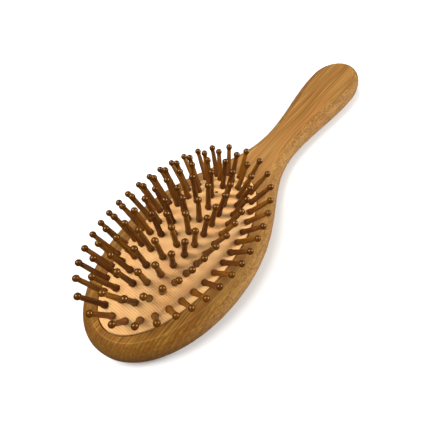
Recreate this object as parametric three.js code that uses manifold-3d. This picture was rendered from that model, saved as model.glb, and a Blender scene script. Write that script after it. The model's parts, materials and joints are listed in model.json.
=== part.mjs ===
// Oval cushion hair brush lying on its back: one machined bamboo body, one domed rubber air
// cushion tucked into a groove round a pocket in the head, and 102 turned wooden pins.
// Millimetres, +Z up, origin on the table under the middle of the outline's box,
// +X towards the end of the handle.
import * as THREE from 'three';
import { mergeVertices } from 'three/addons/utils/BufferGeometryUtils.js';
import Module from 'manifold-3d';

const wasm = await Module();
wasm.setup();

// ---- Driving dimensions ----

const LENGTH = 225;
const THICKNESS = 15;
const EDGE_RADIUS = 6.5;

// One side of the outline, from the front tip: half width at each place, and how far the curve
// keeps its direction before and after it.
const OUTLINE = [
  { x: 0, half: 0, before: [0, 0], after: [0, 18.8] },
  { x: 52.5, half: 32.8, before: [-28.3, 0], after: [41, 0] },
  { x: 139.5, half: 9.4, before: [-35, 0], after: [21, 0] },
  { x: 204, half: 15.1, before: [-24, 0], after: [11.8, 0] },
  { x: LENGTH, half: 0, before: [0, 8.4], after: [0, 0] },
];
const OUTLINE_STEPS = 10;

// The cushion's oval, centred PAD_X from the front tip.
const PAD_X = 54.5;
const PAD_A = 47.4;
const PAD_B = 23.1;
const DOME_HEIGHT = 12;
const DOME_POWER = 2.8;
const RUBBER = 1.3;
const FIT_GAP = 0.3;

// The pocket under the cushion and the groove that holds the cushion's bead.
const POCKET_DEPTH = 7;
const GROOVE_DEPTH = 1.5;
const GROOVE_TOP = 1.3;
const GROOVE_BOTTOM = 3.3;

// Pins: four oval rings round two centre pins. RING_X is the rings' shift from the cushion's centre.
const RING_X = 0.5;
const RINGS = [
  { name: 'outer', count: 36, a: 42.5, b: 21 },
  { name: 'middle', count: 30, a: 36.1, b: 15.1 },
  { name: 'inner', count: 22, a: 29.2, b: 9.8 },
  { name: 'core', count: 12, a: 20.9, b: 4.5 },
];
const CENTRE = { name: 'centre', spots: [50.8, 59.8] };

// How far the pins lean with the rubber's slope: 1 stands square to it.
const LEAN_FRONT = 0.56;
const LEAN_HEEL = 0.8;
const LEAN_ACROSS = 0.8;

const PIN_SIDES = 6;
const BALL_CENTRE = 14.1;
const BALL_RADIUS = 1.45;
const SHAFT_TOP_RADIUS = 1;
const SHAFT_RADIUS = 1.2;
const COLLAR_RADIUS = 1.55;
const COLLAR_START = 0.35;
const COLLAR_END = 2.2;
const NECK_RADIUS = 0.8;
const FOOT_RADIUS = 1.7;
const FOOT_TOP = -1.9;
const FOOT_BOTTOM = -2.7;
const PIN_HOLE_RADIUS = 1.6;
const PIN_HOLE_LENGTH = 6;
const STRIP_WIDTH = 1.4;
const STRIP_THICKNESS = 0.6;

const VENT_X = 79.6;
const VENT_RADIUS = 0.9;

const HOLE_SIDES = 4;
const CUSHION_SEGMENTS = 36;
const DOME_RINGS = [0.3, 0.5, 0.68, 0.82, 0.92];

const BAMBOO = { color: 0xb9854a, roughness: 0.55, metalness: 0 };
const PALE_RUBBER = { color: 0xe9b98c, roughness: 0.7, metalness: 0 };
const PIN_WOOD = { color: 0x8a4f1d, roughness: 0.4, metalness: 0 };

// ---- Solids ----

const centred = (x) => x - LENGTH / 2;

function toSolid(geometry) {
  const bare = geometry.clone();
  bare.deleteAttribute('normal');
  bare.deleteAttribute('uv');
  const merged = mergeVertices(bare);
  const corners = merged.index.array;
  const triangles = [];
  for (let i = 0; i < corners.length; i += 3) {
    const [a, b, c] = corners.slice(i, i + 3);
    if (a !== b && b !== c && c !== a) {
      triangles.push(a, b, c);
    }
  }
  return new wasm.Manifold(new wasm.Mesh({
    numProp: 3,
    vertProperties: new Float32Array(merged.attributes.position.array),
    triVerts: new Uint32Array(triangles),
  }));
}

function toGeometry(solid) {
  const mesh = solid.getMesh();
  const geometry = new THREE.BufferGeometry();
  geometry.setAttribute('position', new THREE.BufferAttribute(mesh.vertProperties, 3));
  geometry.setIndex(new THREE.BufferAttribute(mesh.triVerts, 1));
  geometry.computeVertexNormals();
  return geometry;
}

function namedMesh(name, geometry, look) {
  const mesh = new THREE.Mesh(geometry, new THREE.MeshStandardMaterial(look));
  mesh.name = name;
  return mesh;
}

// A closed solid from stacked loops of equally many points, closed by a point at each end.
function loftSolid(first, loops, last) {
  const count = loops[0].length;
  const points = [first, ...loops.flat(), last];
  const triangles = [];
  for (let i = 0; i < count; i += 1) {
    const next = (i + 1) % count;
    triangles.push(0, 1 + i, 1 + next);
    for (let k = 0; k < loops.length - 1; k += 1) {
      const here = 1 + k * count;
      const below = here + count;
      triangles.push(here + i, below + i, below + next);
      triangles.push(here + i, below + next, here + next);
    }
    const end = 1 + (loops.length - 1) * count;
    triangles.push(end + i, points.length - 1, end + next);
  }
  const geometry = new THREE.BufferGeometry().setFromPoints(points);
  geometry.setIndex(triangles);
  return toSolid(geometry);
}

// ---- Bamboo body ----

function bodyOutline() {
  const shape = new THREE.Shape();
  const steps = OUTLINE.slice(1).map((to, i) => ({ from: OUTLINE[i], to }));
  shape.moveTo(centred(0), 0);
  for (const { from, to } of steps) {
    shape.bezierCurveTo(
      centred(from.x + from.after[0]), from.half + from.after[1],
      centred(to.x + to.before[0]), to.half + to.before[1],
      centred(to.x), to.half,
    );
  }
  for (const { from, to } of steps.reverse()) {
    shape.bezierCurveTo(
      centred(to.x + to.before[0]), -to.half - to.before[1],
      centred(from.x + from.after[0]), -from.half - from.after[1],
      centred(from.x), -from.half,
    );
  }
  return shape;
}

function ovalPrism(grow, low, high) {
  const shape = new THREE.Shape();
  shape.absellipse(centred(PAD_X), 0, PAD_A + grow, PAD_B + grow, 0, 2 * Math.PI);
  const geometry = new THREE.ExtrudeGeometry(shape, {
    depth: high - low,
    bevelEnabled: false,
    curveSegments: CUSHION_SEGMENTS / 2,
  });
  geometry.translate(0, 0, low);
  return toSolid(geometry);
}

function bambooBody() {
  const board = new THREE.ExtrudeGeometry(bodyOutline(), {
    depth: THICKNESS - 2 * EDGE_RADIUS,
    bevelThickness: EDGE_RADIUS,
    bevelSize: EDGE_RADIUS,
    bevelOffset: -EDGE_RADIUS,
    bevelSegments: 4,
    curveSegments: OUTLINE_STEPS,
  });
  board.translate(0, 0, EDGE_RADIUS);
  const pocket = ovalPrism(0, THICKNESS - POCKET_DEPTH, THICKNESS + 1);
  const groove = ovalPrism(GROOVE_DEPTH, THICKNESS - GROOVE_BOTTOM, THICKNESS - GROOVE_TOP);
  const solid = toSolid(board).subtract(pocket).subtract(groove);
  return namedMesh('bamboo_body', toGeometry(solid), BAMBOO);
}

// ---- Rubber cushion ----

const domeHeight = (share) => DOME_HEIGHT * (1 - share ** DOME_POWER);

// How far out a point lies: 0 at the cushion's centre, 1 at its edge.
function domeShare(x, y) {
  return Math.hypot((x - centred(PAD_X)) / PAD_A, y / PAD_B);
}

function ovalLoop(a, b, z) {
  const points = [];
  for (let i = 0; i < CUSHION_SEGMENTS; i += 1) {
    const turn = (2 * Math.PI * i) / CUSHION_SEGMENTS;
    points.push(new THREE.Vector3(centred(PAD_X) + a * Math.cos(turn), b * Math.sin(turn), z));
  }
  return points;
}

function cushionShell() {
  const rim = THICKNESS;
  const a = PAD_A - FIT_GAP;
  const b = PAD_B - FIT_GAP;
  const bead = GROOVE_DEPTH - FIT_GAP;
  const beadTop = rim - GROOVE_TOP - FIT_GAP;
  const beadBottom = rim - GROOVE_BOTTOM + FIT_GAP;
  const inside = (share) => rim - FIT_GAP + domeHeight(share) * (1 - RUBBER / DOME_HEIGHT);
  const outer = DOME_RINGS.map((share) => ovalLoop(a * share, b * share, rim + domeHeight(share)));
  const edge = [
    ovalLoop(a, b, rim),
    ovalLoop(a, b, beadTop),
    ovalLoop(a + bead, b + bead, beadTop),
    ovalLoop(a + bead, b + bead, beadBottom),
    ovalLoop(a - RUBBER, b - RUBBER, beadBottom),
    ovalLoop(a - RUBBER, b - RUBBER, inside(1)),
  ];
  const inner = DOME_RINGS.map((share) => (
    ovalLoop((a - RUBBER) * share, (b - RUBBER) * share, inside(share))
  ));
  return loftSolid(
    new THREE.Vector3(centred(PAD_X), 0, rim + domeHeight(0)),
    [...outer, ...edge, ...inner.reverse()],
    new THREE.Vector3(centred(PAD_X), 0, inside(0)),
  );
}

function holeAt(place, radius, sides) {
  const hole = new THREE.CylinderGeometry(radius, radius, PIN_HOLE_LENGTH, sides);
  hole.rotateX(Math.PI / 2);
  hole.applyQuaternion(place.turn);
  hole.translate(...place.base);
  return toSolid(hole);
}

function rubberCushion(places) {
  let solid = cushionShell();
  for (const place of places) {
    solid = solid.subtract(holeAt(place, PIN_HOLE_RADIUS, HOLE_SIDES));
  }
  solid = solid.subtract(holeAt(pinPlace(centred(VENT_X), 0), VENT_RADIUS, PIN_SIDES));
  return namedMesh('rubber_cushion', toGeometry(solid), PALE_RUBBER);
}

// ---- Pins ----

// Where a pin stands on the dome, and the turn from +Z to the way it leans.
function pinPlace(x, y) {
  const share = domeShare(x, y);
  const steepness = DOME_POWER * DOME_HEIGHT * share ** (DOME_POWER - 2);
  const leanAlong = x < centred(PAD_X) ? LEAN_FRONT : LEAN_HEEL;
  const lean = new THREE.Vector3(
    (leanAlong * steepness * (x - centred(PAD_X))) / PAD_A ** 2,
    (LEAN_ACROSS * steepness * y) / PAD_B ** 2,
    1,
  ).normalize();
  return {
    base: new THREE.Vector3(x, y, THICKNESS + domeHeight(share)),
    turn: new THREE.Quaternion().setFromUnitVectors(new THREE.Vector3(0, 0, 1), lean),
    lean,
  };
}

function ringPlaces({ count, a, b }) {
  const curve = new THREE.EllipseCurve(
    centred(PAD_X) + RING_X, 0, a, b, Math.PI, 3 * Math.PI,
  );
  return curve.getSpacedPoints(count).slice(0, count).map((p) => pinPlace(p.x, p.y));
}

function centrePlaces({ spots }) {
  return spots.map((x) => pinPlace(centred(x), 0));
}

// Foot under the rubber, neck through it, collar on it, tapered shaft and ball tip.
function pinSolid({ base, turn }) {
  const ballCos = BALL_RADIUS * Math.cos(Math.PI / 4);
  const profile = [
    [0, FOOT_BOTTOM],
    [FOOT_RADIUS, FOOT_BOTTOM],
    [FOOT_RADIUS, FOOT_TOP],
    [NECK_RADIUS, FOOT_TOP],
    [NECK_RADIUS, COLLAR_START],
    [COLLAR_RADIUS, COLLAR_START],
    [SHAFT_RADIUS, COLLAR_END],
    [SHAFT_TOP_RADIUS, BALL_CENTRE - ballCos],
    [BALL_RADIUS, BALL_CENTRE],
    [ballCos, BALL_CENTRE + ballCos],
    [0, BALL_CENTRE + BALL_RADIUS],
  ].map(([r, z]) => new THREE.Vector2(r, z));
  const geometry = new THREE.LatheGeometry(profile, PIN_SIDES);
  geometry.rotateX(Math.PI / 2);
  geometry.applyQuaternion(turn);
  geometry.translate(...base);
  return toSolid(geometry);
}

// The strip under the rubber that joins two neighbouring feet.
function footStrip(one, other) {
  const middle = (FOOT_TOP + FOOT_BOTTOM) / 2;
  const from = one.base.clone().addScaledVector(one.lean, middle);
  const to = other.base.clone().addScaledVector(other.lean, middle);
  const along = to.clone().sub(from);
  const up = one.lean.clone().add(other.lean).normalize();
  const side = up.clone().cross(along).normalize();
  const square = along.clone().normalize().cross(side);
  const box = new THREE.BoxGeometry(along.length(), STRIP_WIDTH, STRIP_THICKNESS);
  box.applyMatrix4(new THREE.Matrix4().makeBasis(along.clone().normalize(), side, square));
  box.translate(...from.add(to).multiplyScalar(0.5));
  return toSolid(box);
}

const numbered = (i) => String(i + 1).padStart(2, '0');

function pinPairs({ name, places }) {
  const pairs = [];
  for (let i = 0; i < places.length; i += 2) {
    const [one, other] = places.slice(i, i + 2);
    const solid = pinSolid(one).add(pinSolid(other)).add(footStrip(one, other));
    pairs.push(namedMesh(`pin_pair_${name}_${numbered(i / 2)}`, toGeometry(solid), PIN_WOOD));
  }
  return pairs;
}

// ---- Assembly ----

const groups = RINGS.map((ring) => ({ name: ring.name, places: ringPlaces(ring) }));
groups.push({ name: CENTRE.name, places: centrePlaces(CENTRE) });

const brush = new THREE.Group();
brush.add(bambooBody());
brush.add(rubberCushion(groups.flatMap(({ places }) => places)));
for (const group of groups) {
  brush.add(...pinPairs(group));
}

export default brush;
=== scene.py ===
import json
import math
import random

import bmesh
import bpy
import numpy as np
from mathutils import Matrix, Vector


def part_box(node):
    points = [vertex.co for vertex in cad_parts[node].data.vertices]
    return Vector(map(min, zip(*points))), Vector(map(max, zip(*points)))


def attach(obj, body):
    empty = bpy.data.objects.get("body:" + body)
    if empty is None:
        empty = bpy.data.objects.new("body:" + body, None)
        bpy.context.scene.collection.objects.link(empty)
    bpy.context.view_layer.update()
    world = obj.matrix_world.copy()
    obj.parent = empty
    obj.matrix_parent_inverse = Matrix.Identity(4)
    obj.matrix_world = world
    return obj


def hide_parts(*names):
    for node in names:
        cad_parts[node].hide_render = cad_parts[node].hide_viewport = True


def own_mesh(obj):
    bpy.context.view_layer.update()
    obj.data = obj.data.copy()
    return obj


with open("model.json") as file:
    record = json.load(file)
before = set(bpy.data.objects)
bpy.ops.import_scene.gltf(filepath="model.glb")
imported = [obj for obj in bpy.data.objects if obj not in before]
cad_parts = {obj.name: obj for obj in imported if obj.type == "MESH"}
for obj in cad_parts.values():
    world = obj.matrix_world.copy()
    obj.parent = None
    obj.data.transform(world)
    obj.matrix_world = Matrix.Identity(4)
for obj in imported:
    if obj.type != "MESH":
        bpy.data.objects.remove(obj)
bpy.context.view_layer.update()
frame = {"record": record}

# An oval cushion hair brush on its back: bamboo body, domed rubber cushion and 102 turned pins.
# Lengths are millimetres, as on a drawing, and MM turns them into the frame's metres.
# X runs from the toe of the head to the end of the handle, and Z is up.
MM = 0.001

body_low, body_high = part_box("bamboo_body")
RIM = body_high.z / MM  # height of the flat top
START = body_low.x / MM  # where the toe is

# ---- Dimensions that repeat the CAD model's own ----

EDGE_RADIUS = 6.5

# One side of the outline, from the toe to the handle's end: each knot and its handles before and after.
OUTLINE = [
    ((0, 0), (0, 0), (0, 18.8)),
    ((52.5, 32.8), (-28.3, 0), (41, 0)),
    ((139.5, 9.4), (-35, 0), (21, 0)),
    ((204, 15.1), (-24, 0), (11.8, 0)),
    ((225, 0), (0, 8.4), (0, 0)),
]

PAD_X, PAD_A, PAD_B = START + 54.5, 47.4, 23.1  # the cushion's oval: middle, half length, half width
DOME_HEIGHT, DOME_POWER = 12, 2.8
RUBBER, FIT_GAP = 1.3, 0.3  # the rubber's thickness and the clearance round it
POCKET_DEPTH, GROOVE_DEPTH = 7, 1.5
GROOVE_TOP, GROOVE_BOTTOM = 1.3, 3.3  # below the rim

RING_X = 0.5  # from the cushion's middle to the rings' middle
RINGS = [  # name, number of pins, and the half length and half width of the oval that they stand on
    ("outer", 36, 42.5, 21),
    ("middle", 30, 36.1, 15.1),
    ("inner", 22, 29.2, 9.8),
    ("core", 12, 20.9, 4.5),
]
CENTRE_SPOTS = [50.8, 59.8]  # the two pins in the centre, from the toe
LEAN_FRONT, LEAN_HEEL, LEAN_ACROSS = 0.56, 0.8, 0.8  # share of the dome's slope that a pin leans by
BALL_CENTRE, BALL_RADIUS = 14.1, 1.42  # of a pin's tip, above the rubber
VENT_X, VENT_RADIUS = 79.6, 0.9

# ---- Mesh helpers ----


def in_scene(name, data):
    """A new object in the scene that holds this mesh, light or camera."""
    obj = bpy.data.objects.new(name, data)
    bpy.context.scene.collection.objects.link(obj)
    return obj


def new_object(name, vertices, faces):
    """A mesh object in the scene from points in millimetres."""
    mesh = bpy.data.meshes.new(name)
    points = (np.asarray(vertices, float) * MM).tolist()
    mesh.from_pydata(points, [], [tuple(int(i) for i in f) for f in faces])
    mesh.validate()
    return in_scene(name, mesh)


def smooth(obj, angle):
    """Smooth shading with creases where faces meet at more than angle degrees."""
    mesh = obj.data
    mesh.polygons.foreach_set("use_smooth", [True] * len(mesh.polygons))
    mesh.set_sharp_from_angle(angle=math.radians(angle))
    mesh.update()


def face_out(obj):
    """Turns every face of a closed mesh to look outwards."""
    bm = bmesh.new()
    bm.from_mesh(obj.data)
    bmesh.ops.recalc_face_normals(bm, faces=bm.faces)
    bm.to_mesh(obj.data)
    bm.free()


def join_loops(faces, first, second, count):
    """Adds the band of quads between two loops of count points that start at first and second."""
    for i in range(count):
        j = (i + 1) % count
        faces.append((first + i, first + j, second + j, second + i))


def join_stack(faces, first, loops, count):
    """Adds the bands between loops of count points that follow each other from first on."""
    for k in range(loops - 1):
        join_loops(faces, first + k * count, first + (k + 1) * count, count)


def oval_at(turn, a, b, z):
    """Points of an oval round the cushion's middle at these turns."""
    return np.stack([PAD_X + a * np.cos(turn), b * np.sin(turn), np.full(len(turn), float(z))], axis=1)


def oval(a, b, z, count):
    return oval_at(2 * math.pi * np.arange(count) / count, a, b, z)


# ---- Bamboo body ----

OUTLINE_POINTS, OVAL_POINTS = 480, 224
KNOT_STEPS = 200  # points between two knots of the outline
CREASE = math.radians(13)  # the flat top breaks into the rounded edge at this angle
EDGE_STEPS = 12
LIP = 0.35  # rounding round the pocket's mouth
LIP_TURNS = (0, 0.5, 1.05, 1.57)
FLOOR_CHAMFER = 0.8  # at the foot of the pocket's wall
FLAT_MARGIN = 0.3  # band of quads that keeps the flat faces' shading flat up to their edges
BODY_ANGLE = 40  # edges that turn by more degrees than this are creased


def bezier(p0, p1, p2, p3, count):
    t = np.linspace(0, 1, count, endpoint=False)[:, None]
    return (
        (1 - t) ** 3 * p0
        + 3 * (1 - t) ** 2 * t * p1
        + 3 * (1 - t) * t**2 * p2
        + t**3 * p3
    )


def outline(count):
    """The body's outline seen from above, as count evenly spaced points, and its outward normals."""
    side = []
    for (p, _, after), (q, before, _) in zip(OUTLINE, OUTLINE[1:]):
        p, q = np.array(p, float), np.array(q, float)
        side.append(bezier(p, p + after, q + before, q, KNOT_STEPS))
    side = np.concatenate(side + [[OUTLINE[-1][0]]])
    loop = np.concatenate([side, side[-2::-1] * [1, -1]])
    run = np.concatenate([[0], np.cumsum(np.linalg.norm(np.diff(loop, axis=0), axis=1))])
    at = np.arange(count) / count * run[-1]
    points = np.stack([np.interp(at, run, loop[:, k]) for k in (0, 1)], axis=1)
    points[:, 0] += START
    along = np.roll(points, -1, axis=0) - np.roll(points, 1, axis=0)
    normals = np.stack([-along[:, 1], along[:, 0]], axis=1)
    return points, normals / np.linalg.norm(normals, axis=1)[:, None]


def edge_profile():
    """(inset from the outline, height) down the rounded edge, from the flat top to the flat back."""
    top, bottom = [], []
    for k in range(EDGE_STEPS + 1):
        a = CREASE + (math.pi / 2 - CREASE) * k / EDGE_STEPS
        drop = EDGE_RADIUS * (1 - math.cos(a) / math.cos(CREASE))
        top.append((EDGE_RADIUS * (1 - math.sin(a)), RIM - drop))
    for k in range(EDGE_STEPS + 1):
        a = math.pi / 2 * (1 - k / EDGE_STEPS)
        bottom.append((EDGE_RADIUS * (1 - math.sin(a)), EDGE_RADIUS * (1 - math.cos(a))))
    top_margin = (top[0][0] + FLAT_MARGIN, RIM)
    back_margin = (bottom[-1][0] + FLAT_MARGIN, 0)
    return [top_margin] + top + bottom + [back_margin]


def pocket_profile():
    """(growth of the cushion's oval, height) from the flat top over the lip and the groove to the floor."""
    lip = [(LIP * (1 - math.sin(a)), RIM - LIP * (1 - math.cos(a))) for a in LIP_TURNS]
    return [(LIP + FLAT_MARGIN, RIM)] + lip + [
        (0, RIM - GROOVE_TOP),
        (GROOVE_DEPTH, RIM - GROOVE_TOP),
        (GROOVE_DEPTH, RIM - GROOVE_BOTTOM),
        (0, RIM - GROOVE_BOTTOM),
        (0, RIM - POCKET_DEPTH + FLOOR_CHAMFER),
        (-FLOOR_CHAMFER, RIM - POCKET_DEPTH),
    ]


def fill_flat(bm, loops):
    """Fills the flat face between loops, each given as its first vertex and its number of points."""
    edges = []
    for first, size in loops:
        for i in range(size):
            pair = (bm.verts[first + i], bm.verts[first + (i + 1) % size])
            edges.append(bm.edges.get(pair))
    bmesh.ops.triangle_fill(bm, use_beauty=True, edges=edges)


def bamboo_body():
    """The head and handle with their rounded edge, and the pocket and groove for the cushion."""
    points, normals = outline(OUTLINE_POINTS)
    rings, pocket = edge_profile(), pocket_profile()
    loops, faces = [], []
    for inset, z in rings:
        loops.append(np.column_stack([points - normals * inset, np.full(OUTLINE_POINTS, z)]))
    join_stack(faces, 0, len(rings), OUTLINE_POINTS)
    pocket_start = len(rings) * OUTLINE_POINTS
    for grow, z in pocket:
        loops.append(oval(PAD_A + grow, PAD_B + grow, z, OVAL_POINTS))
    join_stack(faces, pocket_start, len(pocket), OVAL_POINTS)
    obj = new_object("bamboo_head_and_handle", np.concatenate(loops), faces)
    bm = bmesh.new()
    bm.from_mesh(obj.data)
    bm.verts.ensure_lookup_table()
    fill_flat(bm, [(0, OUTLINE_POINTS), (pocket_start, OVAL_POINTS)])
    fill_flat(bm, [(pocket_start - OUTLINE_POINTS, OUTLINE_POINTS)])
    fill_flat(bm, [(pocket_start + (len(pocket) - 1) * OVAL_POINTS, OVAL_POINTS)])
    bmesh.ops.recalc_face_normals(bm, faces=bm.faces)
    bm.to_mesh(obj.data)
    bm.free()
    smooth(obj, BODY_ANGLE)
    return obj


# ---- Where the pins stand ----

RING_STEPS = 2001  # points round a ring, from which the evenly spaced places are found


def dome_height(share):
    """The dome's height above the rim at this share of the way from its middle to its edge."""
    return DOME_HEIGHT * (1 - share**DOME_POWER)


def pin_place(x, y):
    """Where a pin stands on the dome, and the way that it leans."""
    u, v = (x - PAD_X) / PAD_A, y / PAD_B
    share = math.hypot(u, v)
    steep = DOME_POWER * DOME_HEIGHT * share ** (DOME_POWER - 2)
    along = LEAN_FRONT if u < 0 else LEAN_HEEL
    lean = Vector((along * steep * u / PAD_A, LEAN_ACROSS * steep * v / PAD_B, 1))
    return Vector((x, y, RIM + dome_height(share))), lean.normalized()


def ring_places(count, a, b):
    """The places of count pins, evenly spaced round a ring from its toe end."""
    turn = np.linspace(math.pi, 3 * math.pi, RING_STEPS)
    x, y = PAD_X + RING_X + a * np.cos(turn), b * np.sin(turn)
    run = np.concatenate([[0], np.cumsum(np.hypot(np.diff(x), np.diff(y)))])
    at = np.arange(count) / count * run[-1]
    return [pin_place(px, py) for px, py in zip(np.interp(at, run, x), np.interp(at, run, y))]


places = {name: ring_places(count, a, b) for name, count, a, b in RINGS}
places["centre"] = [pin_place(START + x, 0) for x in CENTRE_SPOTS]
all_places = [p for group in places.values() for p in group]

# ---- Rubber cushion ----

SKIRT = 0.6  # the dome's skirt goes this far below the rim, and the bead carries on from there
SHOULDER = 0.975  # share of the oval where the dome starts to turn down into the skirt
SHOULDER_STEPS, SHOULDER_POWER, SHOULDER_END = 4, 1.3, 0.1  # it ends this far below the rim
DIMPLE_DEPTH, DIMPLE_RADIUS = 0.1, 1.9
RIB_PITCH, RIB_DEPTH = 0.88, 0.09
RIB_STEPS = 6  # lines across the dome for each rib
RIB_FADE = 0.03  # share of the oval over which the ribs die out at the shoulder
ROWS_ACROSS = 44  # faces along each line across the dome
TIP_LINES = np.array([0.6, 0.3, 0.1])  # the last lines before each tip, as shares of one step
INSIDE_SHARES = (1, 0.97, 0.93, 0.87, 0.8, 0.7, 0.58, 0.44, 0.3, 0.15)  # one loop of the inside each
HOLE_RADIUS, HOLE_SIDES = 0.95, 14
HOLE_LOW, HOLE_HIGH = -4, 3  # the ends of a hole's cutter along the pin
BEAD_POINTS, BEAD_CHAMFER = 192, 0.2
BEAD_GAP = 0.05  # between the skirt and the bead
RUBBER_ANGLE = 50  # edges that turn by more degrees than this are creased


def dome_surface(u, v, ribs):
    """Points on the dome; u and v are shares of the oval's half length and half width."""
    x = PAD_X + (PAD_A - FIT_GAP) * u
    y = (PAD_B - FIT_GAP) * v
    share = np.hypot(u, v)
    z = RIM + dome_height(share)
    for base, _ in all_places:
        away = (x - base.x) ** 2 + (y - base.y) ** 2
        z = z - DIMPLE_DEPTH * np.exp(-away / DIMPLE_RADIUS**2)
    if ribs:
        fade = np.clip((SHOULDER - share) / RIB_FADE, 0, 1)
        z = z - fade * RIB_DEPTH * (0.5 - 0.5 * np.cos(2 * math.pi * x / RIB_PITCH))
    return np.stack([x, y, z], axis=1)


def dome_stations():
    """Shares of the half length, one for each line across the dome, closer together at its tips."""
    count = int(2 * (PAD_A - FIT_GAP) / RIB_PITCH * RIB_STEPS)
    even = np.linspace(-1, 1, count + 1)
    tip = (1 - even[-2]) * TIP_LINES
    return np.concatenate([-1 + tip[::-1], even[1:-1], 1 - tip])


def dome_skin():
    """The ribbed top, a grid with a point at each tip: points, faces, and its edge with their turns."""
    stations = dome_stations()
    across = np.sin(np.linspace(-1, 1, ROWS_ACROSS + 1) * math.pi / 2)
    reach = np.sqrt(1 - stations**2)
    lines, columns = len(stations), len(across)
    u = np.repeat(stations, columns) * SHOULDER
    v = (reach[:, None] * across[None, :]).ravel() * SHOULDER
    points = dome_surface(np.append(u, [-SHOULDER, SHOULDER]), np.append(v, [0, 0]), True)
    front, back = lines * columns, lines * columns + 1
    last_line = (lines - 1) * columns
    faces = []
    for i in range(lines - 1):
        for j in range(columns - 1):
            k = i * columns + j
            faces.append((k, k + columns, k + columns + 1, k + 1))
    for j in range(columns - 1):
        faces.append((front, j, j + 1))
        faces.append((back, last_line + j + 1, last_line + j))
    edge = [back]
    edge += [i * columns + columns - 1 for i in range(lines - 1, -1, -1)]
    edge += [front]
    edge += [i * columns for i in range(lines)]
    turn = np.concatenate([
        [0], np.arccos(stations[::-1]), [math.pi], 2 * math.pi - np.arccos(stations)
    ])
    return points, faces, edge, turn


def dome_sides(turn):
    """Loops from the ribbed top's edge over the shoulder, round the skirt and up the smooth inside."""
    a, b = PAD_A - FIT_GAP, PAD_B - FIT_GAP
    edge_height = dome_height(SHOULDER)
    inset = b * (1 - SHOULDER)
    loops = []
    for k in range(1, SHOULDER_STEPS + 1):
        t = k / SHOULDER_STEPS * math.pi / 2
        shrink = inset * (1 - math.sin(t))
        z = RIM + edge_height * math.cos(t) ** SHOULDER_POWER - SHOULDER_END * math.sin(t)
        loops.append(oval_at(turn, a - shrink, b - shrink, z))
    loops.append(oval_at(turn, a, b, RIM - SKIRT))
    loops.append(oval_at(turn, a - RUBBER, b - RUBBER, RIM - SKIRT))
    for share in INSIDE_SHARES:
        loop = dome_surface(share * np.cos(turn), share * np.sin(turn), False)
        loop[:, 0] = PAD_X + (loop[:, 0] - PAD_X) * (a - RUBBER) / a
        loop[:, 1] *= (b - RUBBER) / b
        loop[:, 2] -= FIT_GAP + (RUBBER - FIT_GAP) * (1 - share**DOME_POWER)
        loops.append(loop)
    return loops


def dome_mesh():
    """The ribbed top, the shoulder and skirt, and the inside, as one closed surface."""
    skin, faces, edge, turn = dome_skin()
    loops = dome_sides(turn)
    count, first = len(edge), len(skin)
    for i in range(count):
        j = (i + 1) % count
        faces.append((edge[i], edge[j], first + j, first + i))
    join_stack(faces, first, len(loops), count)
    middle = first + len(loops) * count
    last = middle - count
    for i in range(count):
        faces.append((middle, last + i, last + (i + 1) % count))
    vertices = np.concatenate([skin] + loops + [[loops[-1].mean(axis=0)]])
    obj = new_object("cushion_dome", vertices, faces)
    face_out(obj)
    return obj


def prism_loops(base, lean, radius, low, high, sides):
    """Two loops of a small prism that stands along lean."""
    side = lean.orthogonal().normalized()
    other = lean.cross(side)
    loops = []
    for height in (low, high):
        for k in range(sides):
            t = 2 * math.pi * k / sides
            loops.append(base + lean * height + (side * math.cos(t) + other * math.sin(t)) * radius)
    return loops


def hole_cutter():
    """One object that holds every pin's hole and the vent."""
    vertices, faces = [], []
    holes = [(base, lean, HOLE_RADIUS) for base, lean in all_places]
    holes.append((*pin_place(START + VENT_X, 0), VENT_RADIUS))
    for base, lean, radius in holes:
        first = len(vertices)
        second, end = first + HOLE_SIDES, first + 2 * HOLE_SIDES
        vertices += prism_loops(base, lean, radius, HOLE_LOW, HOLE_HIGH, HOLE_SIDES)
        join_loops(faces, first, second, HOLE_SIDES)
        faces.append(tuple(range(first, second)))
        faces.append(tuple(range(end - 1, second - 1, -1)))
    cutter = new_object("hole_cutter", vertices, faces)
    face_out(cutter)
    return cutter


def cut(obj, cutter):
    """Cuts the holes into the piece's own mesh and takes the cutter away."""
    modifier = obj.modifiers.new("holes", "BOOLEAN")
    modifier.operation = "DIFFERENCE"
    modifier.solver = "EXACT"
    modifier.object = cutter
    bpy.context.view_layer.update()
    graph = bpy.context.evaluated_depsgraph_get()
    result = bpy.data.meshes.new_from_object(obj.evaluated_get(graph))
    obj.modifiers.clear()
    obj.data = result
    bpy.data.objects.remove(cutter)


def cushion_dome():
    """The dome with a hole for each pin and the vent."""
    obj = dome_mesh()
    cut(obj, hole_cutter())
    smooth(obj, RUBBER_ANGLE)
    return obj


def cushion_bead():
    """The oval bead in the groove, a closed ring under the dome's skirt."""
    a, b = PAD_A - FIT_GAP, PAD_B - FIT_GAP
    out = GROOVE_DEPTH - FIT_GAP
    start = -SKIRT - BEAD_GAP
    top, bottom = -GROOVE_TOP - FIT_GAP, -GROOVE_BOTTOM + FIT_GAP
    section = [
        (0, start),
        (0, top),
        (out - BEAD_CHAMFER, top),
        (out, top - BEAD_CHAMFER),
        (out, bottom + BEAD_CHAMFER),
        (out - BEAD_CHAMFER, bottom),
        (-RUBBER + BEAD_CHAMFER, bottom),
        (-RUBBER, bottom + BEAD_CHAMFER),
        (-RUBBER, start),
    ]
    vertices = np.concatenate([oval(a + g, b + g, RIM + z, BEAD_POINTS) for g, z in section])
    faces = []
    for k in range(len(section)):
        join_loops(faces, k * BEAD_POINTS, (k + 1) % len(section) * BEAD_POINTS, BEAD_POINTS)
    obj = new_object("cushion_bead", vertices, faces)
    face_out(obj)
    smooth(obj, RUBBER_ANGLE)
    return obj


# ---- Pins ----

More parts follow.
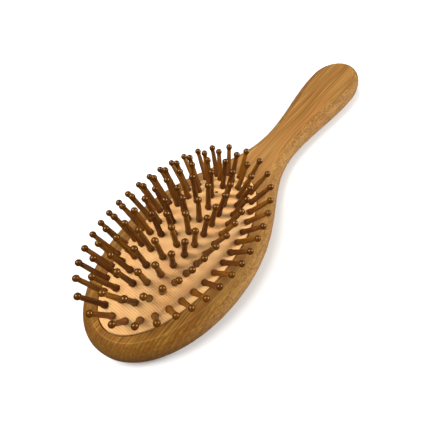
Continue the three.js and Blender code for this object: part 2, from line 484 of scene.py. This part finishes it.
PIN_SEGMENTS, BALL_STEPS = 20, 9
PIN_ANGLE = 60  # edges that turn by more degrees than this are creased
SWAY = 0.012  # radians that a pin strays from its place's lean, as a normal spread
PIN_SEED = 11
COLLAR_RADIUS, WAIST_RADIUS, THROAT_RADIUS, NECK_RADIUS = 1.5, 1.17, 0.97, 0.8


def pin_profile(draw):
    """(radius, height) of one turned pin, from its foot to its ball, with a turner's differences."""
    collar = COLLAR_RADIUS + draw.uniform(-0.04, 0.04)
    waist = WAIST_RADIUS + draw.uniform(-0.03, 0.03)
    throat = THROAT_RADIUS + draw.uniform(-0.03, 0.03)
    ball = BALL_RADIUS + draw.uniform(-0.04, 0.02)
    foot_points = [(0, -2.7), (1.55, -2.7), (1.7, -2.58), (1.7, -2.02), (1.58, -1.9)]
    neck_points = [(NECK_RADIUS, -1.9), (NECK_RADIUS, -0.12)]
    collar_points = [
        (collar - 0.2, -0.12),
        (collar - 0.06, 0.12),
        (collar, 0.55),
        (collar - 0.02, 1.0),
        (collar - 0.1, 1.45),
        (collar - 0.22, 1.85),
    ]
    shaft_points = [
        (waist + 0.05, 2.25),
        (waist, 2.7),
        (waist - 0.02, 4.5),
        (waist - 0.07, 7),
        (waist - 0.13, 9.5),
        (throat + 0.01, 11.6),
        (throat, 12.8),
    ]
    ball_points = []
    start = math.asin(throat / ball)
    for k in range(BALL_STEPS):
        a = start + (math.pi - start) * k / BALL_STEPS
        ball_points.append((ball * math.sin(a), BALL_CENTRE - ball * math.cos(a)))
    ball_points.append((0, BALL_CENTRE + ball))
    return foot_points + neck_points + collar_points + shaft_points + ball_points


def turned(name, profile):
    """A closed turned piece with its axis on +Z; the profile starts and ends on the axis."""
    vertices = [(0, 0, profile[0][1])]
    for r, z in profile[1:-1]:
        for k in range(PIN_SEGMENTS):
            t = 2 * math.pi * k / PIN_SEGMENTS
            vertices.append((r * math.cos(t), r * math.sin(t), z))
    vertices.append((0, 0, profile[-1][1]))
    faces = []
    join_stack(faces, 1, len(profile) - 2, PIN_SEGMENTS)
    last = len(vertices) - 1
    for k in range(PIN_SEGMENTS):
        j = (k + 1) % PIN_SEGMENTS
        faces.append((0, 1 + j, 1 + k))
        faces.append((last, last - PIN_SEGMENTS + k, last - PIN_SEGMENTS + j))
    obj = new_object(name, vertices, faces)
    smooth(obj, PIN_ANGLE)
    return obj


def turned_pin(name, base, lean, draw):
    """One pin in its place, with its own shape, tone, lean and turn."""
    obj = turned(name, pin_profile(draw))
    tone = obj.data.attributes.new("tone", "FLOAT", "POINT")
    tone.data.foreach_set("value", [draw.random()] * len(obj.data.vertices))
    sway = Vector((draw.gauss(0, SWAY), draw.gauss(0, SWAY), 0))
    turn = Vector((0, 0, 1)).rotation_difference((lean + sway).normalized())
    spin = Matrix.Rotation(draw.uniform(0, 2 * math.pi), 4, "Z")
    obj.matrix_world = Matrix.Translation(base * MM) @ turn.to_matrix().to_4x4() @ spin
    return obj


# ---- Materials ----

LIGHT_LEVEL = 1.45  # the light on the brush, as a multiple of the light that shows white as white


def linear(level):
    """A screen level from 0 to 255 as linear light from 0 to 1."""
    if level <= 10:
        return level / 255 / 12.92
    return ((level / 255 + 0.055) / 1.055) ** 2.4


def lit(red, green, blue):
    """The surface colour that looks like this screen colour under the scene's bright light."""
    return tuple(linear(level) / LIGHT_LEVEL for level in (red, green, blue))


class Shader:
    """A material's node tree, with short ways to add nodes."""

    def __init__(self, name):
        self.material = bpy.data.materials.new(name)
        self.material.use_nodes = True
        self.tree = self.material.node_tree
        self.surface = self.tree.nodes["Principled BSDF"]

    def add(self, kind, inputs=None, **settings):
        node = self.tree.nodes.new(kind)
        for key, value in settings.items():
            setattr(node, key, value)
        for key, value in (inputs or {}).items():
            self.put(node.inputs[key], value)
        return node

    def put(self, socket, value):
        if isinstance(value, bpy.types.NodeSocket):
            self.tree.links.new(value, socket)
        else:
            socket.default_value = value

    def math(self, operation, *values):
        inputs = dict(enumerate(values))
        return self.add("ShaderNodeMath", inputs, operation=operation).outputs[0]

    def times(self, first, second):
        return self.math("MULTIPLY", first, second)

    def absent(self, mask):
        """1 where the mask is 0, and 0 where it is 1."""
        return self.math("SUBTRACT", 1.0, mask)

    def wave(self, kind, place, pitch):
        """A sine or cosine along place, between 0 and 1."""
        turn = self.times(place, 2 * math.pi / pitch)
        return self.math("MULTIPLY_ADD", self.math(kind, turn), 0.5, 0.5)

    def coordinate(self, kind):
        return self.add("ShaderNodeTexCoord").outputs[kind]

    def millimetres(self):
        """The object's own X, Y and Z in millimetres."""
        return [self.math("DIVIDE", c, MM) for c in self.split(self.coordinate("Object"))]

    def facing(self):
        """How squarely the surface faces X, Y and Z, from 0 to 1."""
        return [self.math("ABSOLUTE", c) for c in self.split(self.coordinate("Normal"))]

    def vector(self, x, y, z):
        return self.add("ShaderNodeCombineXYZ", {0: x, 1: y, 2: z}).outputs[0]

    def split(self, vector):
        return self.add("ShaderNodeSeparateXYZ", {0: vector}).outputs

    def stretched(self, place, sizes):
        """The place for a texture whose features are to have these sizes along X, Y and Z."""
        return self.vector(*(self.math("DIVIDE", c, size) for c, size in zip(place, sizes)))

    def noise(self, vector, detail):
        inputs = {"Vector": vector, "Scale": 1.0, "Detail": detail}
        return self.add("ShaderNodeTexNoise", inputs).outputs["Fac"]

    def cells(self, vector):
        """The distance to the middle of the nearest random cell."""
        return self.add("ShaderNodeTexVoronoi", {"Vector": vector, "Scale": 1.0}).outputs["Distance"]

    def steps(self, value, low, high, to_low=0.0, to_high=1.0):
        """Goes smoothly from to_low to to_high as the value goes from low to high."""
        inputs = {0: value, 1: low, 2: high, 3: to_low, 4: to_high}
        return self.add("ShaderNodeMapRange", inputs, interpolation_type="SMOOTHSTEP").outputs[0]

    def blend(self, share, first, second, how="MIX"):
        node = self.add("ShaderNodeMix", data_type="RGBA", blend_type=how)
        for key, value in ((0, share), (6, first), (7, second)):
            if isinstance(value, tuple):
                value = (*value, 1.0)
            self.put(node.inputs[key], value)
        return node.outputs[2]

    def layers(self, colour, *layers):
        """Lays colours over the first one, each as (mask, strength, colour)."""
        for mask, strength, over in layers:
            colour = self.blend(self.times(mask, strength), colour, over)
        return colour

    def bump(self, height, distance, strength):
        inputs = {"Height": height, "Distance": distance, "Strength": strength}
        node = self.add("ShaderNodeBump", inputs)
        self.put(self.surface.inputs["Normal"], node.outputs["Normal"])

    def finish(self, colour, roughness, **constants):
        self.put(self.surface.inputs["Base Color"], colour)
        self.put(self.surface.inputs["Roughness"], roughness)
        for key, value in constants.items():
            self.surface.inputs[key.replace("_", " ")].default_value = value
        return self.material


STRIP_WIDTH, STRIP_SHIFT = 5.8, 2.1  # the glued strips of the board, and where the first one starts
SEAM_WIDTH = 0.04  # of the glue line, as a share of a strip
HATCH_PITCH = 1.3  # fine stripes of the bamboo at the toe


def bamboo_material():
    s = Shader("laminated_bamboo")
    x, y, z = s.millimetres()
    sway = s.noise(s.stretched((x, y, 0.0), (70.0, 25.0, 1.0)), 1.0)
    wavy = s.math("ADD", y, s.times(s.math("SUBTRACT", sway, 0.5), 4.0))

    def fibre(length, width, detail, shift=0.0):
        """Noise in streaks that run along X."""
        place = (s.math("ADD", x, shift), wavy, z)
        return s.noise(s.stretched(place, (length, width, width)), detail)

    # The glued strips, and the fibre bundles that crowd towards their edges.
    strip_at = s.math("DIVIDE", s.math("ADD", wavy, STRIP_SHIFT), STRIP_WIDTH)
    strip, within = s.math("FLOOR", strip_at), s.math("FRACT", strip_at)
    strip_tone = s.add("ShaderNodeTexWhiteNoise", {"W": strip}, noise_dimensions="1D").outputs["Value"]
    seam = s.steps(within, SEAM_WIDTH, 0.0)
    bundles = s.cells(s.stretched((x, wavy, z), (30.0, 1.15, 1.15)))
    crowding = s.steps(s.math("ABSOLUTE", s.math("SUBTRACT", within, 0.5)), 0.1, 0.5, 0.35, 1.0)
    dots = s.times(s.steps(bundles, 0.4, 0.14), crowding)
    strands = s.steps(fibre(95.0, 0.7, 2.0, 13.0), 0.48, 0.6)
    pale = s.steps(fibre(80.0, 0.5, 2.0, 57.0), 0.54, 0.64)
    lines = s.steps(fibre(60.0, 0.54, 3.0), 0.43, 0.57)
    bands = s.steps(fibre(170.0, 3.4, 2.0, 31.0), 0.38, 0.62)
    warm = s.steps(fibre(130.0, 4.6, 1.0, 77.0), 0.48, 0.6)

    # What changes along the brush: the toe is darker and striped, and the middle paler.
    toe = s.steps(x, START + 58, START + 8)
    ripple = s.math("ADD", s.times(wavy, 2 * math.pi / HATCH_PITCH), s.times(sway, 9.0))
    stripes = s.steps(s.math("SINE", ripple), 0.1, 0.9)
    hatch = s.times(stripes, s.steps(x, START + 105, START + 30))
    middle = s.times(s.steps(x, START + 25, START + 65), s.steps(x, START + 160, START + 118))

    # What changes round the edge: a painted highlight where the flat top breaks into it, painted shade over
    # it, painted bounce light on the steep sides, side grain with pores, and end grain at the ends.
    facing_x, _, facing_z = s.facing()
    rounded = s.steps(facing_z, 0.99, 0.965)
    # A thin pale line where the flat top breaks into the rounded edge: a painted highlight.
    crease_highlight = s.times(s.steps(facing_z, 0.9995, 0.993), s.absent(rounded))
    end_grain = s.steps(facing_x, 0.12, 0.5)
    side_grain = s.steps(facing_z, 0.975, 0.8)
    # Paler on the steep sides, away from the toe: painted bounce light from the floor.
    side = s.times(s.steps(facing_z, 0.85, 0.35), s.absent(toe))
    cells = s.cells(s.stretched((x, y, z), (1.5, 0.8, 0.7)))
    freckle = s.noise(s.stretched((x, y, z), (5.0, 3.0, 3.0)), 1.0)
    pores = s.times(s.steps(cells, 0.6, 0.2), s.steps(freckle, 0.28, 0.46))
    pores = s.times(pores, side_grain)
    pores = s.times(pores, s.steps(toe, 0.0, 1.0, 1.0, 0.55))
    shine = s.times(s.steps(cells, 0.62, 0.8), s.math("SUBTRACT", side_grain, toe))

    colour = s.layers(
        s.blend(bands, lit(150, 106, 48), lit(176, 130, 69)),
        (strip_tone, 0.4, lit(150, 94, 38)),
        (warm, 0.5, lit(166, 98, 44)),
        (strands, 0.48, lit(122, 76, 22)),
        (pale, 0.45, lit(210, 160, 84)),
        (s.absent(lines), 0.46, lit(120, 76, 24)),
        (dots, 0.5, lit(102, 60, 14)),
        (seam, 0.35, lit(104, 64, 18)),
        (hatch, 0.42, lit(108, 68, 20)),
        (middle, 0.14, lit(222, 172, 104)),
        # painted highlight where the flat top breaks into the rounded edge
        (crease_highlight, 0.2, lit(218, 172, 108)),
    )
    colour = s.blend(toe, colour, (0.94, 0.88, 0.46), "MULTIPLY")
    # Darker and warmer over the rounded edge: partly painted shade, partly the side grain's own tone.
    colour = s.blend(rounded, colour, (0.9, 0.88, 0.72), "MULTIPLY")
    colour = s.layers(
        colour,
        (end_grain, 0.5, lit(106, 64, 8)),
        # painted bounce light on the steep sides
        (side, 0.17, lit(214, 172, 118)),
        (pores, 0.62, lit(112, 68, 18)),
        (shine, 0.2, lit(200, 150, 72)),
    )

    relief = s.math("SUBTRACT", s.times(lines, 0.4), s.times(dots, 0.7))
    relief = s.math("SUBTRACT", relief, s.times(pores, 0.8))
    s.bump(relief, 0.05 * MM, 0.35)
    rough = s.math("ADD", 0.68, s.times(s.math("ADD", dots, pores), 0.15))
    return s.finish(colour, rough, Specular_IOR_Level=0.12)


THREAD_PITCH = 0.6  # the cushion's second pattern, fine threads along the brush
CLOUD_SIZE, GRAIN_SIZE = 9.0, 0.3


def rubber_material():
    s = Shader("ribbed_rubber")
    place = s.millimetres()
    rib = s.wave("COSINE", place[0], RIB_PITCH)
    thread = s.wave("SINE", place[1], THREAD_PITCH)
    cloud = s.noise(s.stretched(place, [CLOUD_SIZE] * 3), 3.0)
    grain = s.noise(s.stretched(place, [GRAIN_SIZE] * 3), 2.0)
    colour = s.layers(
        s.blend(s.steps(cloud, 0.3, 0.7), lit(255, 190, 117), lit(255, 201, 130)),
        # darker in the grooves between the ribs: painted shade
        (s.steps(rib, 0.62, 0.05), 0.42, lit(206, 136, 72)),
        (s.steps(grain, 0.5, 0.75), 0.12, lit(206, 142, 80)),
    )
    s.bump(s.math("ADD", s.times(thread, 0.4), grain), 0.03 * MM, 0.4)
    return s.finish(colour, 0.6, Specular_IOR_Level=0.3)


def pin_material():
    """Brown wood, darker at the ball, which shines, with painted shade darkening the foot; z is the height
    along the pin.
    """
    s = Shader("lacquered_pin_wood")
    x, y, z = s.millimetres()
    tone = s.add("ShaderNodeAttribute", attribute_name="tone").outputs["Fac"]
    length = s.math("ADD", s.math("DIVIDE", z, 7.0), s.times(tone, 57.0))
    streak = s.noise(s.stretched((x, y, length), (0.4, 0.4, 1.0)), 3.0)
    band = s.noise(s.stretched((x, y, length), (1.4, 1.4, 1.0)), 1.0)
    ball = s.steps(z, 12.4, 13.2)
    # Painted shade at the foot, where the pin meets the cushion.
    foot = s.steps(z, 2.6, 0.8)
    colour = s.layers(
        s.blend(tone, lit(106, 50, 0), lit(156, 94, 2)),
        (s.steps(band, 0.5, 0.62), 0.35, lit(156, 98, 14)),
        (s.steps(streak, 0.44, 0.62), 0.55, lit(70, 28, 0)),
        (ball, 0.75, lit(78, 42, 4)),
        # painted shade at the foot
        (foot, 0.6, lit(66, 18, 0)),
    )
    s.bump(streak, 0.03 * MM, 0.3)
    rough = s.steps(z, 11.9, 12.9, 0.55, 0.15)
    return s.finish(colour, rough, Specular_IOR_Level=0.42, Specular_Tint=(1.0, 0.88, 0.7, 1.0))


def floor_material():
    """White paper; far from the brush it is paler and glows a little, to meet the pale horizon."""
    s = Shader("white_seamless")
    place = s.coordinate("Object")
    away = s.add("ShaderNodeVectorMath", {0: place}, operation="LENGTH").outputs["Value"]
    colour = s.blend(s.noise(place, 1.0), (0.75, 0.75, 0.74), (0.77, 0.77, 0.76))
    colour = s.blend(s.steps(away, 0.2, 0.5), colour, (0.95, 0.95, 0.948))
    glow = s.steps(away, 0.3, 0.9, 0.0, 0.36)
    s.put(s.surface.inputs["Emission Color"], s.vector(glow, glow, glow))
    return s.finish(colour, 0.8, Specular_IOR_Level=0.0, Emission_Strength=1.0)


# ---- Putting the brush together ----

body = bamboo_body()
body.data.materials.append(bamboo_material())
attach(body, "root")
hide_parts("bamboo_body")

rubber = rubber_material()
dome, bead = cushion_dome(), cushion_bead()
for piece in (dome, bead):
    piece.data.materials.clear()
    piece.data.materials.append(rubber)
    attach(piece, "root")
    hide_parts("rubber_cushion")
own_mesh(dome)

# Two neighbouring pins stand for one node of the CAD model and ride on its body.
bodies = frame["record"]["behaviour"]["bodies"]
node_body = {node: name for name, nodes in bodies.items() for node in nodes}
pin_wood = pin_material()
draw = random.Random(PIN_SEED)
for group, spots in places.items():
    for i, (base, lean) in enumerate(spots):
        node = f"pin_pair_{group}_{i // 2 + 1:02d}"
        pin = turned_pin(f"turned_pin_{group}_{i + 1:02d}", base, lean, draw)
        pin.data.materials.append(pin_wood)
        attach(pin, node_body[node])
        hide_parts(node)

# ---- Floor, light and camera ----

FLOOR_HALF, FLOOR_DROP = 3000, 0.05  # half its side, and how far it lies under the brush
LIGHT_DISTANCE, LIGHT_POWER = 0.8, 8.6  # metres and watts

# Brightness of the room against height: 0 is straight down, 0.5 the horizon, and 1 overhead.
SKY = [(0, 0.1), (0.4, 0.1), (0.46, 0.82), (0.56, 0.78), (0.7, 0.5), (1, 0.44)]

# The camera: its focal length and frame in pixels, and where it stands and what it looks at.
FOCAL_PIXELS, FRAME_PIXELS, SENSOR = 326.75, 448, 36
CAMERA_DISTANCE = 168.21
AZIMUTH, ELEVATION, ROLL = -48.61, 55.68, -6.17  # degrees
AIM = Vector((START + 80.16, -1.97, 0))


def add_floor():
    ends = (-FLOOR_HALF, FLOOR_HALF)
    corners = [(x, y, -FLOOR_DROP) for y in ends for x in ends]
    floor = new_object("floor", corners, [(0, 1, 3, 2)])
    floor.data.materials.append(floor_material())
    floor.visible_glossy = False


def add_world():
    """A pale room, brightest at the horizon and dark under it, that doesn't show in reflections."""
    world = bpy.data.worlds.new("soft_room")
    world.use_nodes = True
    tree = world.node_tree
    place = tree.nodes.new("ShaderNodeTexCoord")
    split = tree.nodes.new("ShaderNodeSeparateXYZ")
    height = tree.nodes.new("ShaderNodeMapRange")
    height.inputs["From Min"].default_value = -1.0
    ramp = tree.nodes.new("ShaderNodeValToRGB")
    stops = ramp.color_ramp.elements
    stops[0].position, stops[1].position = SKY[0][0], SKY[-1][0]
    for place_up, _ in SKY[1:-1]:
        stops.new(place_up)
    for stop, (_, level) in zip(stops, SKY):
        stop.color = (level, level, level, 1)
    tree.links.new(place.outputs["Generated"], split.inputs[0])
    tree.links.new(split.outputs["Z"], height.inputs["Value"])
    tree.links.new(height.outputs["Result"], ramp.inputs["Fac"])
    tree.links.new(ramp.outputs["Color"], tree.nodes["Background"].inputs["Strength"])
    tree.nodes["Background"].inputs["Color"].default_value = (1.0, 1.0, 1.0, 1.0)
    world.cycles_visibility.glossy = False
    bpy.context.scene.world = world


def add_light(name, towards, size):
    """A round soft light of this many metres; towards is the way to it from the brush."""
    light = bpy.data.lights.new(name, "AREA")
    light.shape = "DISK"
    light.size = size
    light.energy = LIGHT_POWER
    obj = in_scene(name, light)
    towards = Vector(towards).normalized()
    obj.location = towards * LIGHT_DISTANCE
    obj.rotation_euler = towards.to_track_quat("Z", "Y").to_euler()


def add_camera():
    a, e, r = (math.radians(v) for v in (AZIMUTH, ELEVATION, ROLL))
    back = Vector((math.sin(a) * math.cos(e), -math.cos(a) * math.cos(e), math.sin(e)))
    right = Vector((math.cos(a), math.sin(a), 0))
    up = back.cross(right)
    right, up = math.cos(r) * right + math.sin(r) * up, math.cos(r) * up - math.sin(r) * right
    turn = Matrix((right, up, back)).transposed().to_4x4()
    data = bpy.data.cameras.new("camera")
    data.sensor_width = SENSOR
    data.lens = FOCAL_PIXELS / FRAME_PIXELS * SENSOR
    data.clip_start = 0.01
    camera = in_scene("camera", data)
    camera.matrix_world = Matrix.Translation((AIM + back * CAMERA_DISTANCE) * MM) @ turn
    bpy.context.scene.camera = camera


add_floor()
add_world()
add_light("left_softbox", towards=(-0.32, 0.36, 0.88), size=0.55)
add_light("right_softbox", towards=(0.6, -0.66, 0.42), size=0.42)
add_camera()
bpy.context.scene.view_settings.view_transform = "Standard"
